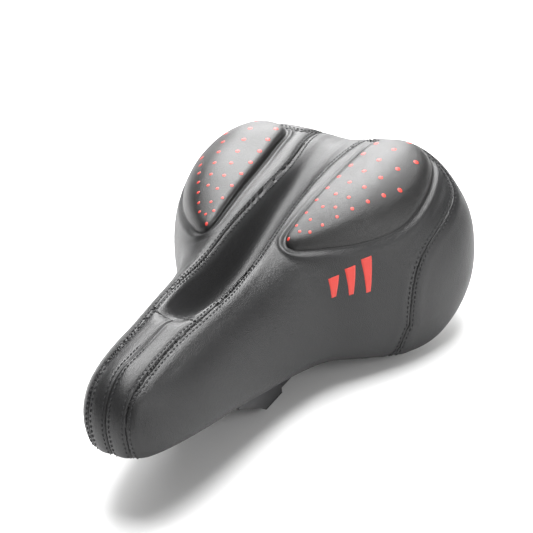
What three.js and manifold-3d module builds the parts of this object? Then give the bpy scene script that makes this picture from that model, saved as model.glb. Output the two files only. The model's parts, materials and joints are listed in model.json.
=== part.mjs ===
// Wide comfort bicycle saddle on steel rails, with the serrated clamp that holds it on a seatpost.
//
// Frame: millimetres, +Z up, nose towards -Y, rider's left towards +X. The origin is the centre of the
// clamp collar's mouth, where the seatpost enters from below.
//
// The padded top is drawn in saddle coordinates: y counts back from the tip of the nose and z up from the
// seam datum, the height where the nose seams end. SADDLE_TO_FRAME carries those into the part's frame.

import * as THREE from 'three';
import { mergeVertices } from 'three/addons/utils/BufferGeometryUtils.js';
import Module from 'manifold-3d';

const wasm = await Module();
wasm.setup();

// ---- driving dimensions -------------------------------------------------------------------------------

const saddle_length = 282;        // nose tip to tail
const saddle_width = 194;         // across the wings
const post_setback = 200;         // nose tip to the seatpost's axis
const rail_depth = 43.5;          // rails' centreline below the seam datum
const crown_lift = 0;             // extra padding height over the whole top

const cover_thickness = 2.0;      // artificial leather with its backing
const seam_gap = 0.5;             // butt gap between two cover panels
const fit_gap = 0.35;             // gap between pieces that touch
const pad_rise = 4.2;             // thermoformed gel pad above the cover

const pan_thickness = 3.0;        // moulded base shell
const pan_crown = 3.0;            // top of the shell's middle above the seam datum
const pan_rim_lift = 5.0;         // shell's edge above the cover's lower edge
const foam_rim_inset = 4.0;       // foam wall between the cover and the shell's edge

const post_diameter = 22.2;
const collar_wall = 3.3;
const collar_height = 26;
const collar_slit = 2.4;          // split between the collar's two ears
const bolt_setoff = 5.6;          // clamp bolt's axis ahead of the collar's wall
const bolt_diameter = 8;
const bolt_clearance = 0.35;      // around the bolt in every bore
const bolt_overhang = 1.6;        // thread that shows past each nut
const boss_radius = 12;           // collar ears
const boss_half_width = 14.5;
const cup_radius = 13.5;          // serrated rail cups
const cup_outer_depth = 7.4;      // outer cup, beyond the rails' centreline
const cup_split = 0.6;            // gap between inner and outer cup
const washer_radius = 8.5;
const washer_thickness = 1.5;
const nut_across_flats = 13;
const nut_height = 6.5;
const web_side_inset = 1.5;       // web between band and ears, inside the ears' faces
const web_end_inset = 2.5;        // and inside the collar's ends

const rail_diameter = 7;
const rail_half_spacing = 22;     // standard 44 mm between rail centrelines
const rail_drop = 9.2;            // rails' centreline below the clamp bolt
const rail_bend = 7;              // bend between the cross bar and each rail
const rail_straight_rear = 192;   // nose tip to the end of the straight clamping length
const rail_clearance = 0.3;       // around the rail in the cups
const rail_end_dip = 0.1;         // the wire's own sag ahead of the bridge
const rail_end_inset = 2;         // wire's ends inside the bridge's rear edge

const pivot_setback = 105;        // nose tip to the rails' cross bar, the suspension pivot
const socket_front = 76;          // nose tip to the socket's front and rear faces
const socket_rear = 119;
const socket_half_width = 28.5;
const socket_chamfer = 6;
const socket_rear_chamfer = 1.5;
const socket_top = 10;            // inside the shell, which trims it
// Socket's underside: [distance behind the front, height above the floor].
const socket_underside = [[0, 23], [23, 8.5], [28, 3.6], [33, 1.1], [37, 0]];
const socket_wall = 2.4;          // under the rails
const socket_clearance = 0.9;     // around the wire, so that it can rock in the socket
const socket_screw_diameter = 3.5;
const socket_screw_head = 6;
const socket_screw_head_height = 2;
const socket_screw_half_spacing = 9;
const socket_screw_inset = 4.4;   // from the socket's rear face
const socket_screw_reach = 8;     // above the rails' centreline

const bridge_setback = 234;       // nose tip to the line of the rear dampers
const bridge_half_width = 47;
const bridge_depth = 24;
const bridge_thickness = 2.5;
const damper_half_spacing = 34;
const damper_height = 17;
const damper_radius = 12.5;
const damper_bulge = 1.8;
const damper_shoulder = 0.3;      // share of the height at which the barrel is full
const stud_diameter = 6;
const stud_clearance = 1.0;
const stud_plate_radius = 11;
const stud_plate_thickness = 2.0;
const stud_plate_margin = 3;      // shell clear of the damper's rim
const stud_overhang = 2;          // thread that shows under each nut
const damper_nut_across_flats = 10;
const damper_nut_height = 5;

// ---- materials ----------------------------------------------------------------------------------------

const finish = (color, roughness, metalness) => new THREE.MeshStandardMaterial({
  color, roughness, metalness,
});
const cover_leather = finish(0x141416, 0.52, 0);
const pad_leather = finish(0x1a1a1c, 0.42, 0);
const foam_yellow = finish(0xb9a878, 0.95, 0);
const shell_plastic = finish(0x101010, 0.6, 0);
const black_steel = finish(0x18181a, 0.4, 0.9);
const zinc_steel = finish(0x8d9095, 0.35, 1);
const damper_rubber = finish(0x0c0c0c, 0.8, 0);

// ---- small tools --------------------------------------------------------------------------------------

const overcut = 2;                // how far a cut runs past the faces it opens
const block_size = 200;           // longer than any piece it is used to trim
const round_sides = 24;
const large_round_sides = 32;
const small_round_sides = 16;
const weld = 1e-4;

const clamp01 = (v) => Math.min(1, Math.max(0, v));
const smooth = (from, to, v) => {
  const u = clamp01((v - from) / (to - from));
  return u * u * (3 - 2 * u);
};

// Cubic through rows of values, four neighbours at a time.
function cubic(rows, span, f) {
  const [a, b, c, d] = [rows[span], rows[span + 1], rows[span + 2], rows[span + 3]];
  return b.map((_, k) => {
    const m1 = (c[k] - a[k]) / 2;
    const m2 = (d[k] - b[k]) / 2;
    const f2 = f * f;
    const f3 = f2 * f;
    return (2 * f3 - 3 * f2 + 1) * b[k] + (f3 - 2 * f2 + f) * m1 + (3 * f2 - 2 * f3) * c[k] + (f3 - f2) * m2;
  });
}

// A value along the saddle: eased between [y, value] stations, level outside them.
function along(stations, y) {
  if (y <= stations[0][0]) return stations[0][1];
  for (let i = 1; i < stations.length; i += 1) {
    const [y0, v0] = stations[i - 1];
    const [y1, v1] = stations[i];
    if (y <= y1) {
      const before = i > 1 ? stations[i - 2] : stations[i - 1];
      const after = i + 1 < stations.length ? stations[i + 1] : stations[i];
      const slope0 = before === stations[i - 1] ? 0 : (v1 - before[1]) / (y1 - before[0]);
      const slope1 = after === stations[i] ? 0 : (after[1] - v0) / (after[0] - y0);
      const h = y1 - y0;
      const f = (y - y0) / h;
      const f2 = f * f;
      const f3 = f2 * f;
      return (2 * f3 - 3 * f2 + 1) * v0 + (f3 - 2 * f2 + f) * h * slope0
        + (3 * f2 - 2 * f3) * v1 + (f3 - f2) * h * slope1;
    }
  }
  return stations[stations.length - 1][1];
}

const bolt_z = collar_height / 2;
const rail_z = bolt_z - rail_drop;
const datum_height = rail_z + rail_depth;

// ---- the padded top -----------------------------------------------------------------------------------

// Half outline in plan, from the nose tip round the wing to the tail, at the reference size:
// [x, y, height of the widest level, height of the lower edge, tuck under that level].
const reference_length = 282;
const reference_width = 194;
const half_outline = [
  [0, 0, 0.5, -13, 3], [12.8, 1.8, 0.4, -13, 3], [21.7, 10, -0.7, -13.3, 3], [28.4, 23.7, -2.6, -13.6, 3],
  [33, 43.3, -6, -15.6, 3], [35.3, 67.5, -11, -19.8, 3], [37.8, 93, -16.5, -25, 3], [41.8, 118, -22, -29, 3],
  [50.3, 142.2, -25.2, -33.2, 4], [66.8, 163, -26.4, -39.8, 5], [82.2, 184, -23.7, -45, 6],
  [91.9, 204.5, -17.8, -43.8, 7], [97, 226, -8.6, -34, 8], [93, 245, 0.7, -25.5, 8], [77, 260.5, 8.2, -19, 8],
  [49.8, 272.5, 12.4, -15, 8], [19, 280, 13.2, -13, 8], [0, 282, 13, -12, 8],
];
const spine_start = 28;
const spine_span = 200;
const spine_height = [[28, 28.7], [54, 30.2], [80, 32.1], [100, 32.8], [125, 33.8], [150, 37.2], [175, 41.2],
  [200, 44.2], [228, 46.6]];
const squareness = [[-10, 2], [60, 2.1], [150, 2.45], [230, 3]];
const lobe_height = [[60, 4], [90, 6.7], [120, 6.9], [150, 9.6], [180, 9.5], [215, 8.3], [245, 9.8],
  [282, 11.5]];
const lobe_centre = 54.5;
const lobe_spread = 37;
const groove_depth = [[58, 0], [70, 4], [82, 12], [95, 18], [110, 21], [140, 21], [165, 17], [190, 12],
  [215, 7.5], [235, 3.5], [252, 1.5]];
const groove_half_width = [[60, 8], [80, 9.5], [100, 11], [140, 11], [180, 9.8], [215, 10], [245, 15],
  [280, 24]];
const groove_steepness = 3.2;
const flank_fade = 0.55;          // share of the way down where lobes and groove start to fade out

const scale_x = saddle_width / reference_width;
const scale_y = saddle_length / reference_length;
const mirrored = ([x, ...rest]) => [-x, ...rest];
const outline_rows = [mirrored(half_outline[1]), ...half_outline, mirrored(half_outline.at(-2))];

// Outline row at t, 0 at the nose tip and 1 at the tail, drawn in by inset.
function outlineAt(t, inset) {
  const spans = half_outline.length - 1;
  const at = (s) => {
    const span = Math.min(spans - 1, Math.max(0, Math.floor(s * spans)));
    return cubic(outline_rows, span, s * spans - span);
  };
  const row = at(t);
  const step = 1e-3;
  const before = at(Math.max(0, t - step));
  const after = at(Math.min(1, t + step));
  const dx = after[0] - before[0];
  const dy = after[1] - before[1];
  const len = Math.hypot(dx, dy);
  const onAxis = t <= 0 || t >= 1;
  const nx = onAxis ? 0 : dy / len;
  const ny = onAxis ? Math.sign(t - 0.5) : -dx / len;
  return [Math.max(0, row[0] - inset * nx), row[1] - inset * ny, row[2], row[3], row[4]];
}

// Height that lobes and groove add at a plan point, a being the share of the way down the side.
function relief(x, y, a) {
  const keep = 1 - smooth(flank_fade, 1, a);
  const lobe = along(lobe_height, y) * Math.exp(-(((x - lobe_centre) / lobe_spread) ** 2));
  const groove = along(groove_depth, y) * Math.exp(-((x / along(groove_half_width, y)) ** groove_steepness));
  return keep * (lobe - groove);
}

// Cover point for t round the outline and a from the spine (0) over the side (1) to the lower edge (2).
// A superellipse falls from the spine to the widest level and a quarter ellipse tucks in below it.
function coverPoint(t, a, inset = 0, raise = 0) {
  const [ox, oy, wide_z, edge_z, tuck] = outlineAt(t, inset);
  const sy = spine_start + spine_span * clamp01(oy / reference_length);
  const top = along(spine_height, sy) + crown_lift - inset + raise;
  const n = along(squareness, oy);
  const fall = clamp01(a) * Math.PI / 2;
  const under = clamp01(a - 1) * Math.PI / 2;
  const reach = Math.sin(fall) ** (2 / n) - tuck / Math.hypot(ox, oy - sy) * (1 - Math.cos(under));
  const x = ox * reach;
  const y = sy + (oy - sy) * reach;
  const z = wide_z + (top - wide_z) * Math.max(0, Math.cos(fall)) ** (2 / n)
    - (wide_z - edge_z) * Math.sin(under) + relief(x, y, clamp01(a));
  return new THREE.Vector3(x * scale_x, y * scale_y, z);
}

// Shell top under the foam: r is 0 on the spine and 1 at the rim.
const pan_roundness = 2.6;
function panPoint(t, r, inset, drop) {
  const rim = coverPoint(t, 2, inset);
  const [, oy] = outlineAt(t, 0);
  const sy = (spine_start + spine_span * clamp01(oy / reference_length)) * scale_y;
  const rim_z = rim.z + pan_rim_lift;
  const z = rim_z + (pan_crown - rim_z) * (1 - r ** pan_roundness) - drop;
  return new THREE.Vector3(rim.x * r, sy + (rim.y - sy) * r, z);
}

const to_frame = new THREE.Vector3(0, -post_setback, datum_height);
const columns = 25;               // steps along each half outline
const side_steps = [0, 0.09, 0.18, 0.28, 0.4, 0.55, 0.7, 0.85, 1, 1.5, 2];
const pan_steps = [0, 0.3, 0.55, 0.75, 0.9, 1];

// Closed body from a stack of loops round the saddle. The first and last loops lie flat on the spine, and
// each four-sided patch is split along its shorter diagonal, so that nested skins split alike.
function loopBody(levels) {
  const ring = [];
  for (let i = 0; i <= columns; i += 1) ring.push([i / columns, 1]);
  for (let i = columns - 1; i > 0; i -= 1) ring.push([i / columns, -1]);
  const position = [];
  levels.forEach((level) => ring.forEach(([t, side]) => {
    const p = level(t).add(to_frame);
    position.push(p.x * side, p.y, p.z);
  }));
  const corner_of = (v) => new THREE.Vector3().fromArray(position, 3 * v);
  const spread = (quad, i, j) => corner_of(quad[i]).distanceTo(corner_of(quad[j]));
  const index = [];
  const n = ring.length;
  for (let k = 0; k + 1 < levels.length; k += 1) {
    for (let i = 0; i < n; i += 1) {
      const j = (i + 1) % n;
      const quad = [k * n + i, k * n + j, (k + 1) * n + j, (k + 1) * n + i];
      const turned_quad = [quad[1], quad[2], quad[3], quad[0]];
      const [a, b, c, d] = spread(quad, 0, 2) <= spread(quad, 1, 3) ? quad : turned_quad;
      index.push(a, b, c, a, c, d);
    }
  }
  return solidFrom(position, index);
}

// ---- solids -------------------------------------------------------------------------------------------

// Manifold solid from positions and triangles: shared vertices merged, slivers dropped, faces outwards.
function solidFrom(position, index) {
  const geometry = new THREE.BufferGeometry();
  geometry.setAttribute('position', new THREE.Float32BufferAttribute(position, 3));
  geometry.setIndex(index);
  return solid(geometry);
}

function solid(geometry) {
  const plain = geometry.clone();
  ['normal', 'uv'].forEach((name) => plain.deleteAttribute(name));
  const merged = mergeVertices(plain, weld);
  const position = merged.attributes.position;
  const source = merged.index.array;
  const triangles = [];
  let volume = 0;
  const [a, b, c] = [new THREE.Vector3(), new THREE.Vector3(), new THREE.Vector3()];
  for (let i = 0; i < source.length; i += 3) {
    const [i0, i1, i2] = [source[i], source[i + 1], source[i + 2]];
    if (i0 !== i1 && i1 !== i2 && i0 !== i2) {
      triangles.push(i0, i1, i2);
      a.fromBufferAttribute(position, i0);
      b.fromBufferAttribute(position, i1);
      c.fromBufferAttribute(position, i2);
      volume += a.dot(b.cross(c));
    }
  }
  if (volume < 0) {
    for (let i = 0; i < triangles.length; i += 3) {
      [triangles[i], triangles[i + 1]] = [triangles[i + 1], triangles[i]];
    }
  }
  return new wasm.Manifold(new wasm.Mesh({
    numProp: 3, vertProperties: new Float32Array(position.array), triVerts: new Uint32Array(triangles),
  }));
}

function geometryOf(body) {
  const mesh = body.getMesh();
  const geometry = new THREE.BufferGeometry();
  geometry.setAttribute('position', new THREE.BufferAttribute(new Float32Array(mesh.vertProperties), 3));
  geometry.setIndex(Array.from(mesh.triVerts));
  const flat = geometry.toNonIndexed();
  flat.computeVertexNormals();
  return flat;
}

const box = (x, y, z, cx, cy, cz) => solid(new THREE.BoxGeometry(x, y, z).translate(cx, cy, cz));

function rod(axis, radius, length, cx, cy, cz, sides = round_sides) {
  const geometry = new THREE.CylinderGeometry(radius, radius, length, sides);
  if (axis === 'x') geometry.rotateZ(-Math.PI / 2);
  if (axis === 'z') geometry.rotateX(Math.PI / 2);
  return solid(geometry.translate(cx, cy, cz));
}

function hexagon(axis, across_flats, length, cx, cy, cz) {
  const flats = 6;
  return rod(axis, across_flats / Math.sqrt(3), length, cx, cy, cz, flats);
}

function turned(profile, cx, cy, cz) {
  const points = [...profile, profile[0]].map(([r, z]) => new THREE.Vector2(r, z));
  return solid(new THREE.LatheGeometry(points, round_sides).rotateX(Math.PI / 2).translate(cx, cy, cz));
}

// Upright wall of the seam gap's thickness along a plan curve in saddle coordinates.
function seamWall(curve, width = seam_gap) {
  const points = curve.map(([x, y]) => new THREE.Vector2(x * scale_x, y * scale_y - post_setback));
  const side = (sign) => points.map((p, i) => {
    const next = points[Math.min(points.length - 1, i + 1)];
    const run = next.clone().sub(points[Math.max(0, i - 1)]).normalize();
    return new THREE.Vector2(p.x - sign * run.y * width / 2, p.y + sign * run.x * width / 2);
  });
  const shape = new THREE.Shape([...side(1), ...side(-1).reverse()]);
  const wall_height = 260;
  const geometry = new THREE.ExtrudeGeometry(shape, { depth: wall_height, bevelEnabled: false });
  return solid(geometry.translate(0, 0, -wall_height / 2));
}

// The biggest of a body's loose pieces, without the crumbs a cut can leave.
const largest = (body) => body.decompose().reduce((a, b) => (a.volume() > b.volume() ? a : b));

const model = new THREE.Group();
function add(name, body, material) {
  const mesh = new THREE.Mesh(geometryOf(body), material);
  mesh.name = name;
  model.add(mesh);
}
const sides = [['left', 1], ['right', -1]];

// ---- cover: seven panels parted along the seams -------------------------------------------------------

const level = (a, inset, raise = 0) => (t) => coverPoint(t, a, inset, raise);
const outer_levels = side_steps.map((a) => level(a, 0));
const inner_levels = side_steps.map((a) => level(a, cover_thickness)).reverse();
const cover = loopBody([...outer_levels, ...inner_levels]);

// Half spacing of the two long seams beside the groove, and the plan curve of the rear panel's seam.
const long_seam = [[-20, 11.5], [6, 11.8], [20, 12.9], [54, 13.3], [81, 15.7], [101, 16.4], [120, 15.3],
  [151, 14.6], [184, 12.8], [219, 12.4], [252, 16.4], [300, 18]];
const groove_front = 70;
const groove_front_half_width = 16;
const rear_seam = [[0, 259], [16, 258], [40, 256], [64, 252], [75, 248.5], [82, 240], [86, 228], [86.5, 213],
  [84, 199], [83, 190], [92, 181], [130, 172]];
const seam_step = 10;
const seam_start = -20;
const [[, rear_seam_middle]] = rear_seam;
const long_seam_curve = [];
for (let y = seam_start; y < rear_seam_middle; y += seam_step) long_seam_curve.push([along(long_seam, y), y]);
long_seam_curve.push([along(long_seam, rear_seam_middle), rear_seam_middle]);

let panels = cover.subtract(seamWall([[0, seam_start], [0, groove_front]]))
  .subtract(seamWall([[-groove_front_half_width, groove_front], [groove_front_half_width, groove_front]]));
sides.forEach(([, side]) => {
  const flip = ([x, y]) => [x * side, y];
  panels = panels.subtract(seamWall(long_seam_curve.map(flip))).subtract(seamWall(rear_seam.map(flip)));
});

// Each loose piece is named by the middle of its box.
function panelName(piece) {
  const { min, max } = piece.boundingBox();
  const middle_x = (min[0] + max[0]) / 2;
  const side = middle_x > 0 ? 'left' : 'right';
  const nose = max[1] < (groove_front + seam_step) * scale_y - post_setback;
  const centred = Math.abs(middle_x) < 1;
  if (centred) return max[0] > saddle_width / 4 ? 'rear_panel' : 'groove_panel';
  return nose ? `nose_panel_${side}` : `side_panel_${side}`;
}
const crumb_volume = 5;
panels.decompose().filter((piece) => piece.volume() > crumb_volume)
  .forEach((piece) => add(panelName(piece), piece, cover_leather));

// ---- gel pads: thermoformed tear drops that sit on the cover ------------------------------------------

const pad_outline = [[25, 146], [30, 144.5], [36, 148], [44, 154.5], [52, 162], [60, 171], [67, 181],
  [72.5, 192], [75.5, 203], [76.5, 214], [75.5, 226], [72, 238], [66, 247], [57, 252.5], [46, 254],
  [35, 251.5], [29, 243], [27.5, 229], [26, 212], [25, 195], [24.5, 178], [24, 161]];
const pad_block_floor = 0;
const cover_room_floor = -60;
const pad_block = loopBody([...side_steps.map((a) => level(a, 0, pad_rise)),
  (t) => coverPoint(t, 0).setZ(pad_block_floor)]);
const cover_room = loopBody([...side_steps.map((a) => level(a, -fit_gap)),
  (t) => coverPoint(t, 0).setZ(cover_room_floor)]);
sides.forEach(([name, side]) => {
  const points = pad_outline
    .map(([x, y]) => new THREE.Vector2(x * scale_x * side, y * scale_y - post_setback));
  const outline = new THREE.Shape(points);
  const geometry = new THREE.ExtrudeGeometry(outline, { depth: block_size, bevelEnabled: false });
  add(`gel_pad_${name}`, pad_block.intersect(solid(geometry)).subtract(cover_room), pad_leather);
});

// ---- foam core and base shell -------------------------------------------------------------------------

const foam_inset = cover_thickness + 2 * fit_gap;
const pan_inset = foam_inset + foam_rim_inset;
const foam_top = side_steps.map((a) => level(a, foam_inset));
const pan_top = pan_steps.map((r) => (t) => panPoint(t, r, pan_inset, 0));
const pan_bottom = pan_steps.map((r) => (t) => panPoint(t, r, pan_inset, pan_thickness)).reverse();
const pan = loopBody([...pan_top, ...pan_bottom]);
add('base_shell', pan, shell_plastic);

// The foam fills the room between cover and shell.
const foam_bottom = pan_steps.map((r) => (t) => panPoint(t, r, pan_inset, -fit_gap)).reverse();
add('foam_core', loopBody([...foam_top, ...foam_bottom]), foam_yellow);

// Underside of the shell over a plan point of the frame, from the nearest columns of the shell's own grid.
function panUnderside(x, y, radius) {
  const search_step = 0.02;
  let lowest = Infinity;
  for (let i = 0; i <= columns; i += 1) {
    for (let r = 0; r <= 1; r += search_step) {
      const p = panPoint(i / columns, r, pan_inset, pan_thickness).add(to_frame);
      if (Math.hypot(p.x - Math.abs(x), p.y - y) < radius) lowest = Math.min(lowest, p.z);
    }
  }
  return lowest;
}

// ---- seatpost clamp -----------------------------------------------------------------------------------

const collar_radius = post_diameter / 2 + collar_wall;
const bolt_y = -collar_radius - bolt_setoff;
const bolt_bore = bolt_diameter / 2 + bolt_clearance;
const boss = rod('x', boss_radius, 2 * boss_half_width, 0, bolt_y, bolt_z, large_round_sides);
const web = box(2 * (boss_half_width - web_side_inset), -bolt_y, collar_height - 2 * web_end_inset,
  0, bolt_y / 2, bolt_z);
const band = rod('z', collar_radius, collar_height, 0, 0, bolt_z, large_round_sides);
const slit_length = boss_radius - bolt_y + overcut;
add('post_collar', band.add(web).add(boss)
  .subtract(rod('z', post_diameter / 2, collar_height + overcut, 0, 0, bolt_z, large_round_sides))
  .subtract(rod('x', bolt_bore, 2 * boss_half_width + overcut, 0, bolt_y, bolt_z))
  .subtract(box(collar_slit, slit_length, collar_height + overcut, 0, -slit_length / 2, bolt_z)),
black_steel);

const cup_inner_start = boss_half_width + fit_gap;
const cup_inner_end = rail_half_spacing - cup_split / 2;
const cup_outer_start = rail_half_spacing + cup_split / 2;
const cup_outer_end = cup_outer_start + cup_outer_depth;
const washer_start = cup_outer_end + fit_gap;
const nut_start = washer_start + washer_thickness + fit_gap;
const bolt_half_length = nut_start + nut_height + bolt_overhang;

function railCup(side, from, to) {
  const middle = side * (from + to) / 2;
  const channel = rail_diameter / 2 + rail_clearance;
  return rod('x', cup_radius, to - from, middle, bolt_y, bolt_z, large_round_sides)
    .subtract(rod('x', bolt_bore, to - from + overcut, middle, bolt_y, bolt_z))
    .subtract(rod('y', channel, 4 * cup_radius, side * rail_half_spacing, bolt_y, rail_z, small_round_sides));
}
sides.forEach(([name, side]) => {
  add(`inner_cup_${name}`, railCup(side, cup_inner_start, cup_inner_end), black_steel);
  add(`outer_cup_${name}`, railCup(side, cup_outer_start, cup_outer_end), black_steel);
  const washer_x = side * (washer_start + washer_thickness / 2);
  add(`clamp_washer_${name}`, rod('x', washer_radius, washer_thickness, washer_x, bolt_y, bolt_z)
    .subtract(rod('x', bolt_bore, washer_thickness + overcut, washer_x, bolt_y, bolt_z)), zinc_steel);
  const nut_x = side * (nut_start + nut_height / 2);
  add(`clamp_nut_${name}`, hexagon('x', nut_across_flats, nut_height, nut_x, bolt_y, bolt_z)
    .subtract(rod('x', bolt_bore, nut_height + overcut, nut_x, bolt_y, bolt_z)), zinc_steel);
});
add('clamp_bolt', rod('x', bolt_diameter / 2, 2 * bolt_half_length, 0, bolt_y, bolt_z), zinc_steel);

// ---- rear bridge, dampers and their studs -------------------------------------------------------------

const damper_y = bridge_setback * scale_y - post_setback;
const damper_top = panUnderside(damper_half_spacing, damper_y, damper_radius + stud_plate_margin) - fit_gap
  - stud_plate_thickness - fit_gap;
const bridge_top = damper_top - damper_height - fit_gap;
const bridge_z = bridge_top - bridge_thickness / 2;
const hole_radius = stud_diameter / 2 + stud_clearance;
let bridge = box(2 * bridge_half_width, bridge_depth, bridge_thickness, 0, damper_y, bridge_z);
sides.forEach(([, side]) => {
  const x = side * damper_half_spacing;
  bridge = bridge.subtract(rod('z', hole_radius, bridge_thickness + overcut, x, damper_y, bridge_z));
});
add('rear_bridge', bridge, black_steel);

sides.forEach(([name, side]) => {
  const x = side * damper_half_spacing;
  const waist = damper_radius + damper_bulge;
  const shoulder = damper_height * damper_shoulder;
  add(`damper_${name}`, turned([[hole_radius, 0], [damper_radius, 0], [waist, shoulder],
    [waist, damper_height - shoulder], [damper_radius, damper_height], [hole_radius, damper_height]],
  x, damper_y, bridge_top + fit_gap), damper_rubber);
  const plate_z = damper_top + fit_gap + stud_plate_thickness / 2;
  const nut_top = bridge_z - bridge_thickness / 2 - fit_gap;
  const stud_low = nut_top - damper_nut_height - stud_overhang;
  const stud = rod('z', stud_diameter / 2, plate_z - stud_low, x, damper_y, (plate_z + stud_low) / 2,
    small_round_sides);
  const plate = rod('z', stud_plate_radius, stud_plate_thickness, x, damper_y, plate_z);
  add(`damper_stud_${name}`, stud.add(plate), zinc_steel);
  const nut_z = nut_top - damper_nut_height / 2;
  add(`damper_nut_${name}`, hexagon('z', damper_nut_across_flats, damper_nut_height, x, damper_y, nut_z)
    .subtract(rod('z', stud_diameter / 2 + fit_gap, damper_nut_height + overcut, x, damper_y, nut_z,
      small_round_sides)), zinc_steel);
});

// ---- rails: one bent wire, cross bar in front, straight clamping length, ends under the bridge ---------

const pivot_y = pivot_setback * scale_y - post_setback;
const straight_rear = rail_straight_rear * scale_y - post_setback;
const rail_end_z = bridge_z - bridge_thickness / 2 - fit_gap - rail_diameter / 2;
const rail_end_x = damper_half_spacing - hole_radius - rail_diameter / 2 - damper_nut_across_flats / 2;
const bend_start = rail_half_spacing - rail_bend;
const bridge_front = damper_y - bridge_depth / 2;
const corner = (degrees) => {
  const turn = THREE.MathUtils.degToRad(degrees);
  return [bend_start + rail_bend * Math.sin(turn), pivot_y + rail_bend * (1 - Math.cos(turn)), rail_z];
};
const straight_middle = (pivot_y + rail_bend + straight_rear) / 2;
const half_wire = [
  ...[0, 30, 60, 90].map(corner),
  [rail_half_spacing, pivot_y + 2 * rail_bend, rail_z],
  [rail_half_spacing, straight_middle, rail_z],
  [rail_half_spacing, straight_rear - rail_bend, rail_z],
  [rail_half_spacing, straight_rear, rail_z],
  [(rail_half_spacing + rail_end_x) / 2, (straight_rear + bridge_front) / 2, (rail_z + rail_end_z) / 2],
  [rail_end_x, bridge_front, rail_end_z - rail_end_dip],
  [rail_end_x, damper_y + bridge_depth / 2 - rail_end_inset, rail_end_z],
];
const wire_points = [...half_wire.map(mirrored).reverse(), [0, pivot_y, rail_z], ...half_wire]
  .map(([x, y, z]) => new THREE.Vector3(x, y, z));
const wire = new THREE.CatmullRomCurve3(wire_points, false, 'centripetal');
const wire_steps = 64;
const wire_quarter_sides = 4;
function wireBody(radius) {
  const section = new THREE.Shape();
  section.absarc(0, 0, radius, 0, 2 * Math.PI, false);
  return solid(new THREE.ExtrudeGeometry(section, {
    steps: wire_steps, curveSegments: wire_quarter_sides, bevelEnabled: false, extrudePath: wire,
  }));
}
add('rails', wireBody(rail_diameter / 2), black_steel);

// ---- rail socket: body and cap round the cross bar, on which the saddle rocks -------------------------

// Side view of the socket in saddle coordinates: a wedge that deepens towards a blunt rear end.
const socket_floor = -rail_depth - rail_diameter / 2 - socket_clearance - socket_wall;
const socket_side = [[socket_front, socket_top],
  ...socket_underside.map(([back, rise]) => [socket_front + back, socket_floor + rise]),
  [socket_rear - socket_rear_chamfer, socket_floor],
  [socket_rear, socket_floor + socket_rear_chamfer], [socket_rear, socket_top]];
const outlineShape = (points) => new THREE.Shape(points.map(([u, v]) => new THREE.Vector2(u, v)));
const socket_shape = outlineShape(socket_side
  .map(([y, z]) => [y * scale_y - post_setback, z + datum_height]));
const side_block = solid(new THREE.ExtrudeGeometry(socket_shape, { depth: block_size, bevelEnabled: false })
  .applyMatrix4(new THREE.Matrix4().makeBasis(
    new THREE.Vector3(0, 1, 0), new THREE.Vector3(0, 0, 1), new THREE.Vector3(1, 0, 0),
  )).translate(-block_size / 2, 0, 0));
// Front view: upright sides with chamfered lower corners.
const socket_low = socket_floor + datum_height;
const socket_tall = 60;
const half_front = [[socket_half_width - socket_chamfer, socket_low],
  [socket_half_width, socket_low + socket_chamfer], [socket_half_width, socket_low + socket_tall]];
const front_shape = outlineShape([...half_front, ...half_front.map(mirrored).reverse()]);
const front_block = solid(new THREE.ExtrudeGeometry(front_shape, { depth: block_size, bevelEnabled: false })
  .rotateX(Math.PI / 2).translate(0, pivot_y + block_size / 2, 0));
const socket_block = side_block.intersect(front_block);
// Room of the shell and of all above it, with a skirt that falls away outside the shell's rim.
const skirt_reach = 1.2;
const ceiling = 60;
const shell_room = loopBody([
  (t) => panPoint(t, 0, pan_inset, 0).setZ(ceiling),
  (t) => panPoint(t, skirt_reach, pan_inset, 0).setZ(ceiling),
  ...[...pan_steps, skirt_reach].reverse()
    .map((r) => (t) => panPoint(t, r, pan_inset, pan_thickness + fit_gap)),
]);
// Room of the cover's lower skirt, which a narrow saddle draws in over the socket.
const lowered = (inset) => (t) => {
  const p = coverPoint(t, 2, inset);
  return p.setZ(p.z - fit_gap);
};
const skirt_inset = cover_thickness + fit_gap;
const cover_skirt = loopBody([...side_steps.map((a) => level(a, -fit_gap)), lowered(-fit_gap),
  lowered(skirt_inset), ...side_steps.map((a) => level(a, skirt_inset)).reverse()]);
const wire_room = wireBody(rail_diameter / 2 + socket_clearance);
const above = (z) => box(block_size, block_size, block_size, 0, pivot_y, z + block_size / 2);
const socket = socket_block.subtract(shell_room).subtract(cover_skirt).subtract(wire_room);
let socket_body = socket.intersect(above(rail_z + fit_gap / 2));
let socket_cap = socket.subtract(above(rail_z - fit_gap / 2));
const shank = socket_screw_diameter / 2;
const screw_y = socket_rear * scale_y - post_setback - socket_screw_inset;
const screw_top = rail_z + socket_screw_reach;
const screw_seat = socket_floor + datum_height + socket_screw_head_height;
const head_z = screw_seat - fit_gap - socket_screw_head_height / 2;
sides.forEach(([name, side]) => {
  const x = side * socket_screw_half_spacing;
  socket_cap = socket_cap
    .subtract(rod('z', socket_screw_head / 2 + fit_gap, 2 * socket_screw_head_height, x, screw_y,
      screw_seat - socket_screw_head_height))
    .subtract(rod('z', shank + fit_gap, 2 * (rail_z - screw_seat + overcut), x, screw_y, screw_seat,
      small_round_sides));
  socket_body = socket_body
    .subtract(rod('z', shank + fit_gap, 2 * (socket_screw_reach + overcut / 2), x, screw_y, rail_z,
      small_round_sides));
  add(`socket_screw_${name}`, rod('z', socket_screw_head / 2, socket_screw_head_height, x, screw_y, head_z)
    .add(rod('z', shank, screw_top - head_z, x, screw_y, (screw_top + head_z) / 2,
      small_round_sides)), zinc_steel);
});
add('socket_body', largest(socket_body), shell_plastic);
add('socket_cap', largest(socket_cap), shell_plastic);

export default model;
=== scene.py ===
import json
import math

import bmesh
import bpy
import numpy as np
from mathutils import Matrix, Vector


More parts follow.
